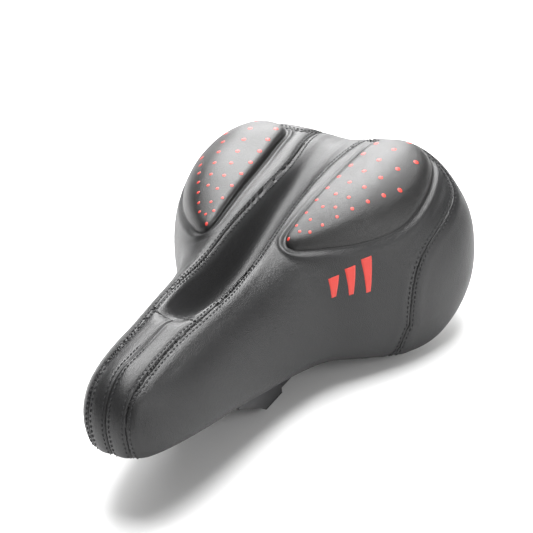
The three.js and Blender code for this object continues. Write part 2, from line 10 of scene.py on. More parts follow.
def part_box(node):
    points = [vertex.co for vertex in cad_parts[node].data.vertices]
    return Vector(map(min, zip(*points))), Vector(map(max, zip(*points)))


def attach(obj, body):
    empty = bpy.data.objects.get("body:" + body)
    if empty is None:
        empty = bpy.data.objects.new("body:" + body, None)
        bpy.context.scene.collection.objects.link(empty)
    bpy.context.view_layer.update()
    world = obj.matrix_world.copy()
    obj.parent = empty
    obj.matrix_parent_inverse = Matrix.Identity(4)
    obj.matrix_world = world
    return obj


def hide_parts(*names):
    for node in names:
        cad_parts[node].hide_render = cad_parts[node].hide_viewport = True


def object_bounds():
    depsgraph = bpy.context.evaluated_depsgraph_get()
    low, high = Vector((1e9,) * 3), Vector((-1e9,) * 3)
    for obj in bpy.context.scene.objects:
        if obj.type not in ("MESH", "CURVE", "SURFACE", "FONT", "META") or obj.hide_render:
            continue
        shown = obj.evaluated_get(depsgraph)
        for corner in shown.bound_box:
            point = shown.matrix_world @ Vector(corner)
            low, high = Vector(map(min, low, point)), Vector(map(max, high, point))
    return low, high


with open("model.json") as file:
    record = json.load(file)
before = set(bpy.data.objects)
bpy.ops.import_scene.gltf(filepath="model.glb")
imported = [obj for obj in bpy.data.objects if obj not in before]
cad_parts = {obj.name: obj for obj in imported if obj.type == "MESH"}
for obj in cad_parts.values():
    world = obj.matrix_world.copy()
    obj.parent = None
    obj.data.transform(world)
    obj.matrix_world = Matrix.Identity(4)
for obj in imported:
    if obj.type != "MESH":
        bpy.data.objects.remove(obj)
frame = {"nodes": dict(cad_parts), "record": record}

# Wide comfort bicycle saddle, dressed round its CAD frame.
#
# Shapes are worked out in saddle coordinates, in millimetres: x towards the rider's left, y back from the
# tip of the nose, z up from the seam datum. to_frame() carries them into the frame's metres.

cad_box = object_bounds()

# ---- sizes --------------------------------------------------------------------------------------------

MM = 0.001
RAIL_DROP = 9.2                # rails' centreline below the clamp bolt
RAIL_DEPTH = 43.5              # rails' centreline below the seam datum
RAIL_RADIUS = 3.5
RAIL_HALF_SPACING = 22.0

bolt_low, bolt_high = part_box("clamp_bolt")
NOSE_Y = cad_box[0].y / MM
BOLT_Z = (bolt_low.z + bolt_high.z) / 2 / MM
RAIL_Z = BOLT_Z - RAIL_DROP
DATUM_Z = RAIL_Z + RAIL_DEPTH

COVER_CELL = 0.85              # spacing of the cover's grid
LEATHER_THICKNESS = 1.2
HEM_WIDTH = 9.0                # leather turned in under the lower edge
HEM_LIFT = 1.5

SEAM_DEPTH = 0.6
SEAM_WIDTH = 0.85
SEAM_SWELL = 0.3               # padding that puffs up beside a seam
SEAM_SWELL_PLACE = 5.5
SEAM_SWELL_WIDTH = 3.0
STITCH_DIP = 0.22
STITCH_DIP_WIDTH = 0.6
STITCH_OFFSET = 2.0            # from a seam to each of its two stitch lines
STITCH_PITCH = 2.9
STITCH_LENGTH = 2.1
THREAD_RADIUS = 0.34
THREAD_ARCH = 0.75             # height of a stitch's middle, in thread radii
THREAD_DIVE = 1.7              # how far its ends go down below that
THREAD_TAPER = 0.35

PAD_CENTRE = (49.0, 206.0)
PAD_RISE_INNER = 3.6
PAD_RISE_OUTER = 5.4
PAD_FILLET = 5.1               # rounding of the pad's rim where it rises least
PAD_ROUNDNESS = 2.4
PAD_RIM_DROP = 0.5             # outline below the plain cover
PAD_BED = 1.6                  # cover pressed down under the pad
PAD_CREASES = [(-0.7, 0.9, 1.0), (0.55, 3.4, 1.0), (-0.3, 6.2, 1.6)]   # height, distance and width
PAD_SUNK = 0.9                 # pad's underside below the plain cover
DOT_FRONT_RADIUS = 0.95
DOT_REAR_RADIUS = 1.65
DOT_STRETCH = 1.12             # how fast the dots of a row move apart towards the rear

# ---- interpolation ------------------------------------------------------------------------------------


def smooth(low, high, v):
    """Ease from 0 at low to 1 at high."""
    u = np.clip((v - low) / (high - low), 0.0, 1.0)
    return u * u * (3 - 2 * u)


def bump(v, centre, width):
    """Bell curve of height 1."""
    return np.exp(-(((v - centre) / width) ** 2))


def along(stations, y):
    """Cubic Hermite through [y, value] stations, with central-difference slopes and level ends."""
    s = np.asarray(stations, float)
    knots, values = s[:, 0], s[:, 1]
    slopes = np.zeros(len(s))
    slopes[1:-1] = (values[2:] - values[:-2]) / (knots[2:] - knots[:-2])
    y = np.clip(y, knots[0], knots[-1])
    i = np.clip(np.searchsorted(knots, y, side="right") - 1, 0, len(s) - 2)
    h = knots[i + 1] - knots[i]
    f = (y - knots[i]) / h
    f2, f3 = f * f, f * f * f
    return ((2 * f3 - 3 * f2 + 1) * values[i] + (f3 - 2 * f2 + f) * h * slopes[i]
            + (3 * f2 - 2 * f3) * values[i + 1] + (f3 - f2) * h * slopes[i + 1])


def through(rows, t):
    """Catmull-Rom curve through rows at t from 0 to 1, the first and last row being the curve's ghosts."""
    rows = np.asarray(rows, float)
    s = np.clip(t, 0, 1) * (len(rows) - 3)
    i = np.minimum(s.astype(int), len(rows) - 4)
    f = (s - i)[..., None]
    f2, f3 = f * f, f * f * f
    a, b, c, d = rows[i], rows[i + 1], rows[i + 2], rows[i + 3]
    return ((2 * f3 - 3 * f2 + 1) * b + (f3 - 2 * f2 + f) * (c - a) / 2
            + (3 * f2 - 2 * f3) * c + (f3 - f2) * (d - b) / 2)


FINE_STEPS = 40                # steps between two given points before a curve is spaced out evenly


def even_curve(points, spacing, closed=False):
    """Points at even spacing on a smooth curve through the given ones."""
    points = np.asarray(points, float)
    if closed:
        rows = np.vstack([points[-1:], points, points[:2]])
    else:
        rows = np.vstack([2 * points[0] - points[1], points, 2 * points[-1] - points[-2]])
    fine = through(rows, np.linspace(0, 1, FINE_STEPS * len(points)))
    reach = np.concatenate([[0], np.cumsum(np.linalg.norm(np.diff(fine, axis=0), axis=1))])
    count = max(2, int(round(reach[-1] / spacing)) + 1)
    at = np.linspace(0, reach[-1], count)
    out = np.stack([np.interp(at, reach, fine[:, k]) for k in range(points.shape[1])], 1)
    return out[:-1] if closed else out


def eased(path, reach):
    """Moving average over reach steps to each side, with the path's ends held."""
    before = 2 * path[:1] - path[1:reach + 1][::-1]
    after = 2 * path[-1:] - path[-reach - 1:-1][::-1]
    rows = np.vstack([before, path, after])
    kernel = np.full(2 * reach + 1, 1 / (2 * reach + 1))
    return np.stack([np.convolve(rows[:, k], kernel, "valid") for k in range(path.shape[1])], 1)


def nearest(points, targets, chunk=4000):
    """Index of the nearest target to each point, and the distance to it."""
    index, distance = [], []
    size = (targets ** 2).sum(1)
    for start in range(0, len(points), chunk):
        p = points[start:start + chunk]
        squared = (p ** 2).sum(1)[:, None] - 2 * p @ targets.T + size[None]
        k = squared.argmin(1)
        index.append(k)
        distance.append(np.sqrt(np.maximum(squared[np.arange(len(p)), k], 0)))
    return np.concatenate(index), np.concatenate(distance)


# ---- the padded top's surface -------------------------------------------------------------------------

# Half outline in plan, from the nose tip round the wing to the tail:
# x, y, height of the widest level, height of the lower edge, tuck under that level.
HALF_OUTLINE = [
    [0, 0, 0.5, -13, 3], [12.8, 1.8, 0.4, -13, 3], [21.7, 10, -0.7, -13.3, 3], [28.4, 23.7, -2.6, -13.6, 3],
    [33, 43.3, -6, -15.6, 3], [35.3, 67.5, -11, -19.8, 3], [37.8, 93, -16.5, -25, 3],
    [41.8, 118, -22, -29, 3], [50.3, 142.2, -25.2, -33.2, 4], [66.8, 163, -26.4, -39.8, 5],
    [82.2, 184, -23.7, -45, 6], [91.9, 204.5, -17.8, -43.8, 7], [97, 226, -8.6, -34, 8],
    [93, 245, 0.7, -25.5, 8], [77, 260.5, 8.2, -19, 8], [49.8, 272.5, 12.4, -15, 8],
    [19, 280, 13.2, -13, 8], [0, 282, 13, -12, 8],
]
SPINE_START = 28.0
SPINE_SPAN = 200.0
LENGTH = 282.0
SPINE_HEIGHT = [[28, 28.7], [54, 30.2], [80, 32.1], [100, 32.8], [125, 33.8], [150, 37.2], [175, 41.2],
                [200, 44.2], [228, 46.6]]
SQUARENESS = [[-10, 2], [60, 2.1], [150, 2.45], [230, 3]]
LOBE_HEIGHT = [[60, 4], [90, 6.7], [120, 6.9], [150, 9.6], [180, 9.5], [215, 8.3], [245, 9.8],
               [282, 11.5]]
LOBE_CENTRE = 54.5
LOBE_SPREAD = 37.0
GROOVE_DEPTH = [[58, 0], [70, 4], [82, 12], [95, 18], [110, 21], [140, 21], [165, 17], [190, 12], [215, 7.5],
                [235, 3.5], [252, 1.5]]
GROOVE_HALF_WIDTH = [[60, 8], [80, 9.5], [100, 11], [140, 11], [180, 9.8], [215, 10], [245, 15],
                     [280, 24]]
GROOVE_STEEPNESS = 3.2
FLANK_FADE = 0.55              # share of the way down where lobes and groove start to fade out


def mirrored(row):
    return [-row[0], *row[1:]]


OUTLINE_ROWS = [mirrored(HALF_OUTLINE[1]), *HALF_OUTLINE, mirrored(HALF_OUTLINE[-2])]


def outline_at(t, inset=0.0):
    """Outline row at t, 0 at the nose tip and 1 at the tail, drawn in along its normal by inset."""
    row = through(OUTLINE_ROWS, t)
    step = 1e-3
    run = through(OUTLINE_ROWS, np.minimum(t + step, 1)) - through(OUTLINE_ROWS, np.maximum(t - step, 0))
    length = np.hypot(run[..., 0], run[..., 1])
    on_axis = (t <= 0) | (t >= 1)
    nx = np.where(on_axis, 0, run[..., 1] / length)
    ny = np.where(on_axis, np.sign(t - 0.5), -run[..., 0] / length)
    x = np.maximum(0, row[..., 0] - inset * nx)
    return x, row[..., 1] - inset * ny, row[..., 2], row[..., 3], row[..., 4]


def relief(x, y, a):
    """Height that the two lobes and the centre groove add, fading out down the flank."""
    keep = 1 - smooth(FLANK_FADE, 1, a)
    lobe = along(LOBE_HEIGHT, y) * np.exp(-(((np.abs(x) - LOBE_CENTRE) / LOBE_SPREAD) ** 2))
    share = np.abs(x) / along(GROOVE_HALF_WIDTH, y)
    groove = along(GROOVE_DEPTH, y) * np.exp(-(share ** GROOVE_STEEPNESS))
    return keep * (lobe - groove)


def spine_y(outline_y):
    return SPINE_START + SPINE_SPAN * np.clip(outline_y / LENGTH, 0, 1)


def cover_point(t, a, inset=0.0):
    """Cover point for t round the outline and a from the spine (0) over the side (1) to the lower edge (2):
    a superellipse from the spine to the widest level, a quarter ellipse tucked in below, and the relief."""
    t, a = np.broadcast_arrays(np.asarray(t, float), np.asarray(a, float))
    ox, oy, wide_z, edge_z, tuck = outline_at(t, inset)
    sy = spine_y(oy)
    top = along(SPINE_HEIGHT, sy) - inset
    n = along(SQUARENESS, oy)
    fall = np.clip(a, 0, 1) * np.pi / 2
    under = np.clip(a - 1, 0, 1) * np.pi / 2
    reach = np.sin(fall) ** (2 / n) - tuck / np.hypot(ox, oy - sy) * (1 - np.cos(under))
    x = ox * reach
    y = sy + (oy - sy) * reach
    z = (wide_z + (top - wide_z) * np.maximum(0, np.cos(fall)) ** (2 / n) - (wide_z - edge_z) * np.sin(under)
         + relief(x, y, np.clip(a, 0, 1)))
    return np.stack([x, y, z], -1)


TABLE_T = np.linspace(0, 1, 500)


def plan_to_surface(x, y):
    """(t, a) of the cover over plan points, found where the ray from the spine through each point turns
    from one side of it to the other."""
    x, y = np.abs(np.ravel(x)), np.ravel(y)
    ox, oy, *_ = outline_at(TABLE_T)
    sy = spine_y(oy)
    turn = (oy - sy)[None] * x[:, None] - (y[:, None] - sy[None]) * ox[None]
    k = np.argmax(np.sign(turn[:, :-1]) * np.sign(turn[:, 1:]) <= 0, axis=1)
    r = np.arange(len(x))
    f = turn[r, k] / (turn[r, k] - turn[r, k + 1] + 1e-12)
    t = TABLE_T[k] + f * (TABLE_T[1] - TABLE_T[0])
    ox, oy, *_ = outline_at(t)
    sy = spine_y(oy)
    reach = np.hypot(x, y - sy) / np.hypot(ox, oy - sy)
    n = along(SQUARENESS, oy)
    return t, np.arcsin(np.clip(reach, 0, 1) ** (n / 2)) / (np.pi / 2)


def cover_height(x, y):
    """Height of the cover over plan points."""
    t, a = plan_to_surface(x, y)
    return cover_point(t, a)[:, 2].reshape(np.shape(x))


# ---- meshes -------------------------------------------------------------------------------------------


def to_frame(points):
    return (np.asarray(points, float) + [0, NOSE_Y, DATUM_Z]) * MM


def vertex_normals(points, triangles):
    """Area-weighted outward normals."""
    a, b, c = (points[triangles[:, k]] for k in range(3))
    face = np.cross(b - a, c - a)
    total = np.zeros_like(points)
    for k in range(3):
        np.add.at(total, triangles[:, k], face)
    return total / np.maximum(np.linalg.norm(total, axis=1, keepdims=True), 1e-12)


def make_piece(name, points, faces, material, body="saddle", smooth_faces=True):
    """Mesh object from points in frame metres and faces, riding on a body."""
    mesh = bpy.data.meshes.new(name)
    faces = faces.tolist() if isinstance(faces, np.ndarray) else faces
    mesh.from_pydata(np.asarray(points).tolist(), [], faces)
    mesh.polygons.foreach_set("use_smooth", np.full(len(mesh.polygons), smooth_faces))
    mesh.update()
    piece = bpy.data.objects.new(name, mesh)
    bpy.context.scene.collection.objects.link(piece)
    mesh.materials.append(material)
    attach(piece, body)
    return piece


def grid_quads(rows, columns, wrap_rows=False, wrap_columns=False):
    """Quads of a grid whose vertex (i, j) has index i * columns + j."""
    i = np.arange(rows if wrap_rows else rows - 1)[:, None]
    j = np.arange(columns if wrap_columns else columns - 1)[None]
    i2, j2 = (i + 1) % rows, (j + 1) % columns
    quads = np.stack([i * columns + j, i2 * columns + j, i2 * columns + j2, i * columns + j2], -1)
    return quads.reshape(-1, 4)


def mirror(points):
    return points * [-1, 1, 1]


FINE_MERGE = 1e-7


def merged(piece, distance=1e-6):
    """Merges doubles and turns every face outwards."""
    b = bmesh.new()
    b.from_mesh(piece.data)
    bmesh.ops.remove_doubles(b, verts=b.verts, dist=distance)
    bmesh.ops.dissolve_degenerate(b, edges=b.edges, dist=distance)
    bmesh.ops.recalc_face_normals(b, faces=b.faces)
    b.to_mesh(piece.data)
    b.free()
    return piece


def tube(path, radius, sides=20):
    """Closed tube: a circle carried along a path on frames turned as little as possible, with domed ends."""
    path = np.asarray(path, float)
    run = np.gradient(path, axis=0)
    run /= np.linalg.norm(run, axis=1, keepdims=True)
    up = np.zeros_like(path)
    up[0] = np.cross(run[0], [0.0, 0.3, 1.0])
    for k in range(1, len(path)):
        up[k] = up[k - 1] - (up[k - 1] @ run[k]) * run[k]
        up[k] /= np.linalg.norm(up[k])
    side = np.cross(run, up)
    turn = np.linspace(0, 2 * np.pi, sides, endpoint=False)
    ring = np.cos(turn)[None, :, None] * up[:, None] + np.sin(turn)[None, :, None] * side[:, None]
    body = path[:, None] + radius * ring
    caps = []
    for end, sign in ((0, -1), (-1, 1)):
        lift = np.array([0.35, 0.7, 0.92])
        rim = path[end] + sign * run[end] * radius * 0.5 * np.sqrt(1 - (1 - lift[:, None, None]) ** 2) \
            + radius * ring[end][None] * (1 - lift[:, None, None] ** 2)
        caps.append(rim)
    rings = np.concatenate([caps[0][::-1], body, caps[1]])
    points = np.concatenate([rings.reshape(-1, 3), caps[0][-1].mean(0)[None], caps[1][-1].mean(0)[None]])
    quads = grid_quads(len(rings), sides, wrap_columns=True)
    faces = quads.tolist()
    last = (len(rings) - 1) * sides
    for k in range(sides):
        faces.append([len(points) - 2, (k + 1) % sides, k])
        faces.append([len(points) - 1, last + k, last + (k + 1) % sides])
    return points, faces


# ---- materials ----------------------------------------------------------------------------------------


def material(name, color, roughness, metallic=0.0, **sockets):
    """Principled material, with its own sockets set directly."""
    made = bpy.data.materials.new(name)
    made.use_nodes = True
    shader = made.node_tree.nodes["Principled BSDF"]
    shader.inputs["Base Color"].default_value = (*color, 1)
    shader.inputs["Roughness"].default_value = roughness
    shader.inputs["Metallic"].default_value = metallic
    for key, value in sockets.items():
        shader.inputs[key.replace("_", " ")].default_value = value
    return made, shader


def node(made, kind, **values):
    """Node with its inputs set by name, or its own properties."""
    n = made.node_tree.nodes.new(kind)
    for key, value in values.items():
        if key in n.inputs:
            n.inputs[key].default_value = value
        else:
            setattr(n, key, value)
    return n


def link(made, source, target):
    made.node_tree.links.new(source, target)


def coordinates(made):
    return node(made, "ShaderNodeTexCoord").outputs["Object"]


def ramp(made, source, low, high):
    """Colours or values between two ends, driven by a 0 to 1 pattern."""
    r = made.node_tree.nodes.new("ShaderNodeValToRGB")
    r.color_ramp.elements[0].color = (*low, 1)
    r.color_ramp.elements[1].color = (*high, 1)
    link(made, source, r.inputs["Fac"])
    return r


def spread(made, source, low, high):
    """A number from low to high, driven by a 0 to 1 pattern."""
    m = node(made, "ShaderNodeMapRange")
    m.inputs["To Min"].default_value = low
    m.inputs["To Max"].default_value = high
    link(made, source, m.inputs["Value"])
    return m.outputs["Result"]


def bump_chain(made, shader, layers):
    """Bump layers one on another, each (height output, strength, distance in metres)."""
    below = None
    for height, strength, distance in layers:
        b = node(made, "ShaderNodeBump", Strength=strength, Distance=distance)
        link(made, height, b.inputs["Height"])
        if below is not None:
            link(made, below, b.inputs["Normal"])
        below = b.outputs["Normal"]
    link(made, below, shader.inputs["Normal"])


def leather(name, dark, pale, rough_low, rough_high, grain):
    """Artificial leather: pebbled grain with creases between the pebbles, fine pores and slow mottling."""
    made, shader = material(name, pale, rough_high, Specular_IOR_Level=0.5)
    place = coordinates(made)
    wander = node(made, "ShaderNodeTexNoise", Scale=220.0, Detail=3.0)
    link(made, place, wander.inputs["Vector"])
    bend = node(made, "ShaderNodeMixRGB", blend_type="LINEAR_LIGHT", Fac=0.0012)
    link(made, place, bend.inputs["Color1"])
    link(made, wander.outputs["Color"], bend.inputs["Color2"])
    pebbles = node(made, "ShaderNodeTexVoronoi", Scale=grain, feature="DISTANCE_TO_EDGE")
    link(made, bend.outputs["Color"], pebbles.inputs["Vector"])
    tops = node(made, "ShaderNodeMapRange", interpolation_type="SMOOTHSTEP")
    tops.inputs["From Max"].default_value = 0.28
    link(made, pebbles.outputs["Distance"], tops.inputs["Value"])
    pores = node(made, "ShaderNodeTexNoise", Scale=grain * 2.6, Detail=2.0)
    link(made, place, pores.inputs["Vector"])
    mottle = node(made, "ShaderNodeTexNoise", Scale=24.0, Detail=4.0)
    link(made, place, mottle.inputs["Vector"])
    shade = ramp(made, mottle.outputs["Fac"], dark, pale)
    link(made, shade.outputs["Color"], shader.inputs["Base Color"])
    link(made, spread(made, mottle.outputs["Fac"], rough_low, rough_high), shader.inputs["Roughness"])
    bump_chain(made, shader, [(mottle.outputs["Fac"], 0.12, 0.0015), (tops.outputs["Result"], 0.32, 0.00022),
                              (pores.outputs["Fac"], 0.25, 0.00012)])
    return made


def painted_steel():
    """Satin black paint: slight orange peel, and bare steel glints where it has rubbed."""
    made, shader = material("satin_black_paint", (0.018, 0.018, 0.019), 0.36, 0.0, Specular_IOR_Level=0.6)
    place = coordinates(made)
    peel = node(made, "ShaderNodeTexNoise", Scale=900.0, Detail=2.0)
    wear = node(made, "ShaderNodeTexNoise", Scale=70.0, Detail=6.0, Roughness=0.7)
    for n in (peel, wear):
        link(made, place, n.inputs["Vector"])
    worn = node(made, "ShaderNodeMapRange")
    worn.inputs["From Min"].default_value = 0.66
    worn.inputs["From Max"].default_value = 0.74
    link(made, wear.outputs["Fac"], worn.inputs["Value"])
    shade = ramp(made, worn.outputs["Result"], (0.016, 0.016, 0.017), (0.16, 0.155, 0.15))
    link(made, shade.outputs["Color"], shader.inputs["Base Color"])
    link(made, spread(made, worn.outputs["Result"], 0.0, 0.8), shader.inputs["Metallic"])
    link(made, spread(made, wear.outputs["Fac"], 0.3, 0.46), shader.inputs["Roughness"])
    bump_chain(made, shader, [(peel.outputs["Fac"], 0.12, 0.0001)])
    return made


def zinc_steel():
    """Zinc plating: pale metal with fine turning lines and cloudy passivation."""
    made, shader = material("zinc_plating", (0.55, 0.56, 0.58), 0.3, 1.0)
    place = coordinates(made)
    stretch = node(made, "ShaderNodeMapping")
    stretch.inputs["Scale"].default_value = (1.0, 14.0, 14.0)
    link(made, place, stretch.inputs["Vector"])
    lines = node(made, "ShaderNodeTexNoise", Scale=260.0, Detail=3.0)
    link(made, stretch.outputs["Vector"], lines.inputs["Vector"])
    cloud = node(made, "ShaderNodeTexNoise", Scale=120.0, Detail=4.0)
    link(made, place, cloud.inputs["Vector"])
    shade = ramp(made, cloud.outputs["Fac"], (0.36, 0.37, 0.39), (0.62, 0.62, 0.61))
    link(made, shade.outputs["Color"], shader.inputs["Base Color"])
    link(made, spread(made, lines.outputs["Fac"], 0.22, 0.42), shader.inputs["Roughness"])
    bump_chain(made, shader, [(lines.outputs["Fac"], 0.15, 0.00005)])
    return made


def grained(name, dark, pale, rough, scale, strength, depth, metallic=0.0):
    """Moulded plastic, rubber or foam: a fine all-over texture with slow changes of tone."""
    made, shader = material(name, pale, rough, metallic)
    place = coordinates(made)
    spark = node(made, "ShaderNodeTexNoise", Scale=scale, Detail=4.0)
    cloud = node(made, "ShaderNodeTexNoise", Scale=scale / 18, Detail=3.0)
    for n in (spark, cloud):
        link(made, place, n.inputs["Vector"])
    shade = ramp(made, cloud.outputs["Fac"], dark, pale)
    link(made, shade.outputs["Color"], shader.inputs["Base Color"])
    link(made, spread(made, cloud.outputs["Fac"], rough * 0.85, min(1.0, rough * 1.12)),
         shader.inputs["Roughness"])
    bump_chain(made, shader, [(spark.outputs["Fac"], strength, depth)])
    return made


COVER_LEATHER = leather("cover_leather", (0.0075, 0.0075, 0.008), (0.0125, 0.0125, 0.013), 0.40, 0.48, 1050.0)
PAD_LEATHER = leather("pad_leather", (0.008, 0.0078, 0.0078), (0.0125, 0.012, 0.012), 0.36, 0.43, 1300.0)
THREAD = grained("sewing_thread", (0.008, 0.008, 0.009), (0.02, 0.02, 0.022), 0.65, 2600.0, 0.5, 0.0001)
RED_PRINT = grained("red_print", (0.56, 0.036, 0.026), (0.68, 0.052, 0.036), 0.42, 1500.0, 0.1, 0.00005)
FOAM = grained("moulded_foam", (0.36, 0.29, 0.16), (0.52, 0.44, 0.27), 0.95, 800.0, 0.6, 0.0006)
SHELL_PLASTIC = grained("moulded_plastic", (0.012, 0.012, 0.013), (0.022, 0.022, 0.024), 0.5, 1400.0, 0.3,
                        0.00015)
RUBBER = grained("damper_rubber", (0.010, 0.010, 0.010), (0.022, 0.022, 0.021), 0.75, 1000.0, 0.3, 0.0002)
PAINT = painted_steel()
ZINC = zinc_steel()

# ---- seams --------------------------------------------------------------------------------------------

LONG_SEAM = [[-20, 11.5], [6, 11.8], [20, 12.9], [54, 13.3], [81, 15.7], [101, 16.4], [120, 15.3],
             [151, 14.6], [184, 12.8], [219, 12.4], [252, 16.4], [300, 18]]
GROOVE_FRONT = 70.0
NOSE_TURN = 14.0               # y where a long seam leaves the nose's front for the top
NOSE_SHARE = 0.12              # share of the half outline that the nose's front takes up
LONG_SEAM_END = 257.0
SEAM_POINT_STEP = 3.0
REAR_SEAM_TOP = [[0, 259], [16, 258], [40, 256], [55, 254]]
REAR_SEAM_SIDE = [[64, 252, 46], [75, 250, 38], [83, 239, 33], [87, 226, 29], [87, 213, 25], [85, 203, 20],
                  [81, 187, 7], [79, 179, -11], [75, 174, -35]]
REAR_SEAM_EASE = 35            # half the steps over which the rear seam is evened out


def long_seam_line():
    """Left long seam on the surface: up the nose's front at the seam's spacing, then back over the top."""
    spacing = along(LONG_SEAM, np.array(0.0))
    t = np.linspace(0, NOSE_SHARE, 200)
    rise = []
    for a in np.linspace(2, 0.3, 60):
        p = cover_point(t, a)
        at = np.interp(spacing, p[:, 0], t)
        q = cover_point(np.array([at]), a)[0]
        if q[1] > NOSE_TURN:
            break
        rise.append(q)
    y = np.arange(rise[-1][1] + 2.5, LONG_SEAM_END, SEAM_POINT_STEP)
    x = along(LONG_SEAM, y)
    top = np.stack([x, y, cover_height(x, y)], 1)
    return even_curve(np.vstack([rise, top]), 1.0)


def centre_seam_line():
    """Centre seam: up the nose's front on the axis and back along the spine to the groove."""
    front = cover_point(np.zeros(30), np.linspace(2, 0.04, 30))
    y = np.arange(SPINE_START + 1, GROOVE_FRONT, SEAM_POINT_STEP)
    top = np.stack([0 * y, y, cover_height(0 * y, y)], 1)
    return even_curve(np.vstack([front, top]), 1.0)


# ---- cover: one fine grid over the padded top, parted along the seams ---------------------------------

dense_t = np.linspace(0, 1, 4000)
outline_x, outline_y, *_ = outline_at(dense_t)
outline_reach = np.concatenate([[0], np.cumsum(np.hypot(np.diff(outline_x), np.diff(outline_y)))])
columns = int(outline_reach[-1] / COVER_CELL)
half_t = np.interp(np.linspace(0, outline_reach[-1], columns + 1), outline_reach, dense_t)


def even_rows(count):
    """Shares of the way down the side, evenly spaced along a middling section of the saddle."""
    a = np.linspace(0, 1, 4000)
    half_width, height, squareness = 62.0, 48.0, 2.3
    section = np.stack([half_width * np.sin(a * np.pi / 2) ** (2 / squareness),
                        height * np.cos(a * np.pi / 2) ** (2 / squareness)], 1)
    reach = np.concatenate([[0], np.cumsum(np.linalg.norm(np.diff(section, axis=0), axis=1))])
    return np.interp(np.linspace(0, reach[-1], count), reach, a)


side_rows = np.concatenate([even_rows(134), np.linspace(1, 2, 22)[1:]])
hem_rows = np.linspace(0, 1, 8)[1:]


def cover_half():
    """Left half of the cover's grid, hem included: an array of columns by rows by 3."""
    side = cover_point(half_t[:, None], side_rows[None])
    edge = side[:, -1]
    drawn_in = cover_point(half_t, np.full(len(half_t), 2.0), inset=HEM_WIDTH)
    drawn_in[:, 2] = edge[:, 2]
    u = hem_rows[None, :, None]
    hem = edge[:, None] * (1 - u) + drawn_in[:, None] * u
    hem[..., 2] += HEM_LIFT * smooth(0.3, 1, hem_rows)[None]
    return np.concatenate([side, hem], 1)


left = cover_half()
ring_t = np.concatenate([half_t, half_t[-2:0:-1]])
ring = np.concatenate([left, mirror(left[-2:0:-1])])
ring_size, row_count = ring.shape[:2]
cover_a = np.broadcast_to(np.concatenate([side_rows, 2 + hem_rows]), (ring_size, row_count)).ravel()
cover_t = np.broadcast_to(ring_t[:, None], (ring_size, row_count)).ravel()
cover_points = ring.reshape(-1, 3).copy()

# On the spine the two halves share their vertices.
same = np.arange(ring_size * row_count)
right_columns = np.arange(columns + 1, ring_size)
same[right_columns * row_count] = (2 * columns - right_columns) * row_count
quads = same[grid_quads(ring_size, row_count, wrap_rows=True)]
halves = np.concatenate([quads[:, [0, 1, 2]], quads[:, [0, 2, 3]]])
normals = vertex_normals(cover_points, halves)
normals[same != np.arange(len(same))] = normals[same[same != np.arange(len(same))]]
if normals[row_count // 3][2] < 0:
    quads, normals = quads[:, ::-1], -normals


def surface_distance(values, gradient):
    """Distance on the surface to where values is zero: the value over the gradient's share in the surface."""
    share = gradient - (gradient * normals).sum(1, keepdims=True) * normals
    size = np.maximum(np.linalg.norm(share, axis=1), 0.15)
    return values / size, share / size[:, None]


def rear_seam_stations():
    """(t, a) of the rear seam's left half, from the tail's middle to the lower edge."""
    top = np.array(REAR_SEAM_TOP, float)
    table = np.vstack([np.column_stack([top, cover_height(top[:, 0], top[:, 1])]), REAR_SEAM_SIDE])
    found, _ = nearest(table, left[:, :len(side_rows)].reshape(-1, 3))
    t, a = half_t[found // len(side_rows)], side_rows[found % len(side_rows)]
    a[-1] = 2.0
    t[0] = 1.0
    return t, a


seam_t, seam_a = rear_seam_stations()
rear_curve = even_curve(np.stack([seam_t * 10, seam_a], 1), 0.01)
rear_curve = eased(eased(rear_curve, REAR_SEAM_EASE), REAR_SEAM_EASE)
rear_line = even_curve(cover_point(rear_curve[:, 0] / 10, np.clip(rear_curve[:, 1], 0, 2)), 1.0)
order = np.argsort(rear_curve[:, 0])
rear_limit = np.interp(cover_t, rear_curve[order, 0] / 10, rear_curve[order, 1], left=9.0)

x, y, z = cover_points.T
sign = np.where(x < 0, -1.0, 1.0)
folded = np.stack([np.abs(x), y, z], 1)
step = 0.5
slope = (along(LONG_SEAM, y + step) - along(LONG_SEAM, y - step)) / (2 * step)
long_distance, long_way = surface_distance(
    np.abs(x) - along(LONG_SEAM, y), np.stack([sign, -slope, 0 * x], 1))
front_distance, front_way = surface_distance(
    y - GROOVE_FRONT, np.stack([0 * x, 1 + 0 * x, 0 * x], 1))
rear_fine = even_curve(rear_line, 0.25)
rear_index, rear_gap = nearest(folded, rear_fine)
in_rear = cover_a > rear_limit
rear_distance = np.where(in_rear, rear_gap, -rear_gap)
centre_distance = np.abs(x)

in_strip = long_distance < 0
on_nose = in_strip & (y < GROOVE_FRONT)
far = 99.0
seam_fields = {
    "long": np.where(rear_distance < 1.0, long_distance, far),
    "front": np.where(in_strip | (np.abs(long_distance) < 0.6), front_distance, far),
    "rear": rear_distance,
    "centre": np.where(on_nose | (np.abs(front_distance) < 0.6) & in_strip, centre_distance, far),
}

# Vertices close to a seam are drawn onto it, so that the panels part in a clean line.
catch = COVER_CELL * 0.5
snapped = cover_points.copy()
held = np.zeros(len(snapped), bool)
for name, way in (("long", long_way), ("front", front_way)):
    caught = (np.abs(seam_fields[name]) < catch) & ~held & (y > 3)
    snapped[caught] -= seam_fields[name][caught, None] * way[caught]
    held |= caught
caught = (rear_gap < catch) & ~held
snapped[caught] = rear_fine[rear_index[caught]] * np.stack([sign, 1 + 0 * x, 1 + 0 * x], 1)[caught]
held |= caught
held |= (centre_distance < 0.01) & on_nose

seam_gap = np.min([np.abs(v) for v in seam_fields.values()], axis=0)


